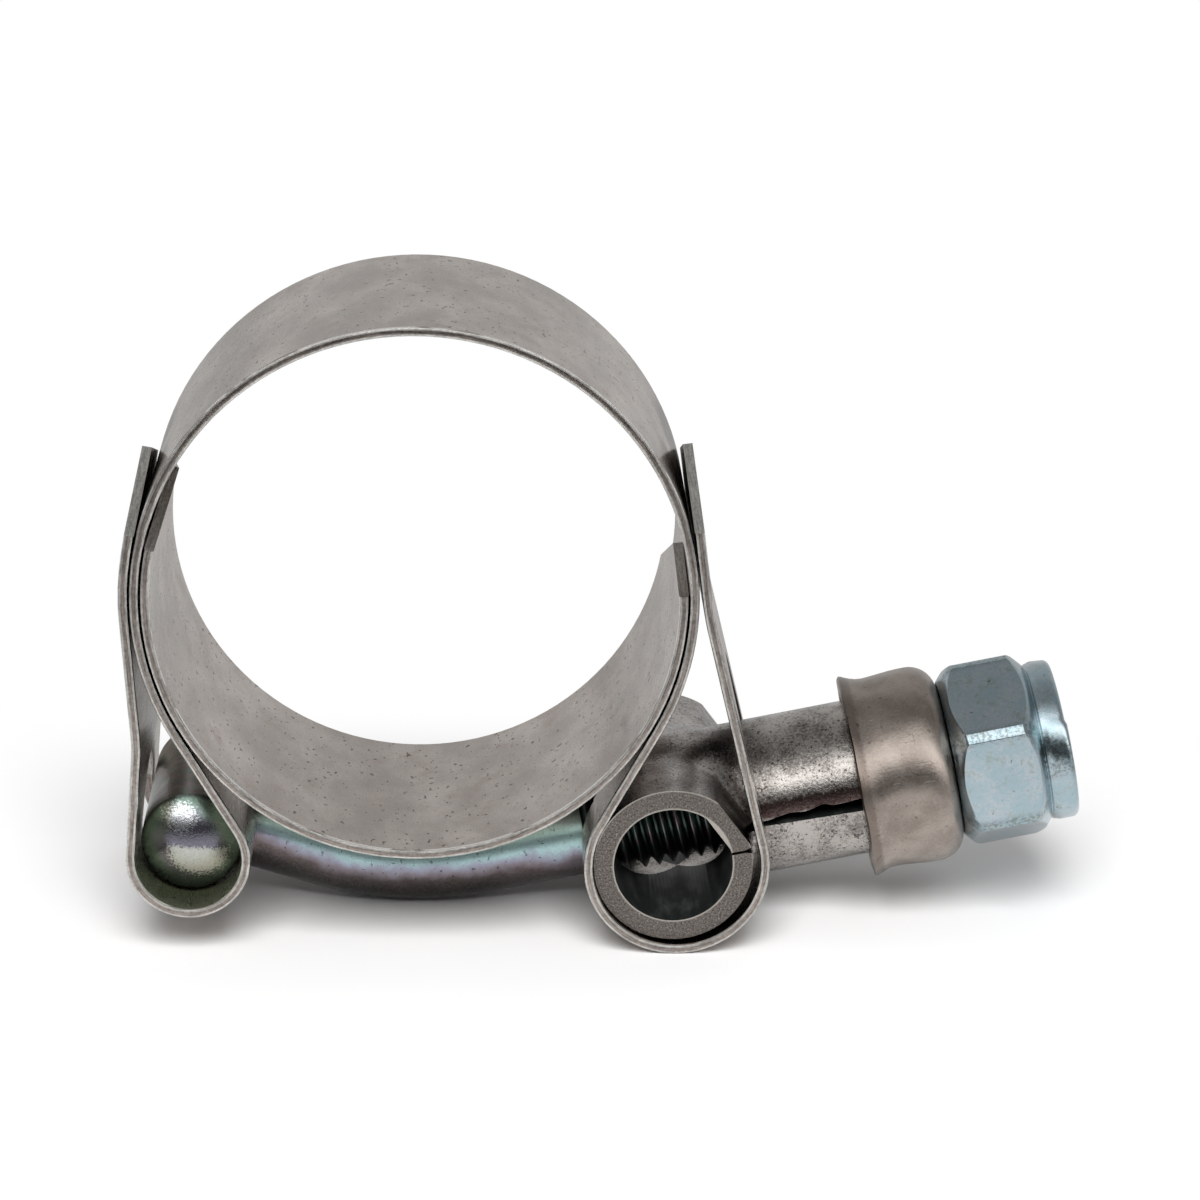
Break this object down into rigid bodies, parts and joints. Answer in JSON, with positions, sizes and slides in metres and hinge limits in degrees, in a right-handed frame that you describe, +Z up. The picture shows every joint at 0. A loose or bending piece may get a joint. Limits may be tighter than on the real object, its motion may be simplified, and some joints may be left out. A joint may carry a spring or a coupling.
{
  "type": "t bolt clamp",
  "caption": "Round hose clamp: a steel band with looped, spot-welded ends over a thin inner bridge, drawn shut by a T-bolt, a split trunnion, a cap washer and a lock nut.",
  "frame": {"origin": "centre of the clamp's bore, half way along it", "axes": "+Y along the bore, +Z up with both loops resting on one level, +X towards the side with the nut"},
  "size_m": [0.0614, 0.019, 0.0402],
  "materials": {
    "band_steel": "rolled stainless strip, brushed along its length",
    "bridge_steel": "rolled stainless strip, brushed along its length",
    "zinc_bolt": "bright zinc plate with a faint green and violet tint",
    "rolled_steel": "bright rolled steel with a grainy cut face",
    "nickel_cap": "satin nickel with fine scratches",
    "zinc_nut": "pale blue zinc plate"
  },
  "bodies": {
    "band": {"band": "band_steel"},
    "bridge": {"bridge": "bridge_steel"},
    "t_bolt": {"t_bolt": "zinc_bolt"},
    "trunnion": {"trunnion": "rolled_steel"},
    "cap_washer": {"cap_washer": "nickel_cap"},
    "lock_nut": {"lock_nut": "zinc_nut"}
  },
  "joints": [
    {"name": "band_flex", "type": "hinge", "parent": "band", "child": "bridge", "pos_m": [0, 0, 0.01696], "axis": [0, 1, 0], "range_deg": [0, 10.4], "stiffness_Nm_per_rad": 1.7, "deforming": ["band", "bridge"]},
    {"name": "trunnion_turn", "type": "hinge", "parent": "bridge", "child": "trunnion", "pos_m": [0.01731, 0, -0.01586], "axis": [0, 1, 0], "range_deg": [-8.4, 0]},
    {"name": "bolt_turn", "type": "hinge", "parent": "band", "child": "t_bolt", "pos_m": [-0.01265, 0, -0.01773], "axis": [0, 1, 0], "range_deg": [0, 2.1]},
    {"name": "washer_slide", "type": "slide", "parent": "t_bolt", "child": "cap_washer", "axis": [-0.9598, 0, -0.2807], "range_m": [0, 0.00635]},
    {"name": "nut_spin", "type": "hinge", "parent": "cap_washer", "child": "lock_nut", "pos_m": [0.01731, 0, -0.01586], "axis": [-0.9598, 0, -0.2807], "range_deg": [0, 2524]}
  ],
  "couplings": [
    {"joint": "nut_spin", "follows": "washer_slide", "rad_per_m": 6926.3},
    {"joint": "band_flex", "follows": "washer_slide", "rad_per_m": 28.303},
    {"joint": "bolt_turn", "follows": "washer_slide", "rad_per_m": 5.5757},
    {"joint": "trunnion_turn", "follows": "washer_slide", "rad_per_m": -22.727}
  ]
}
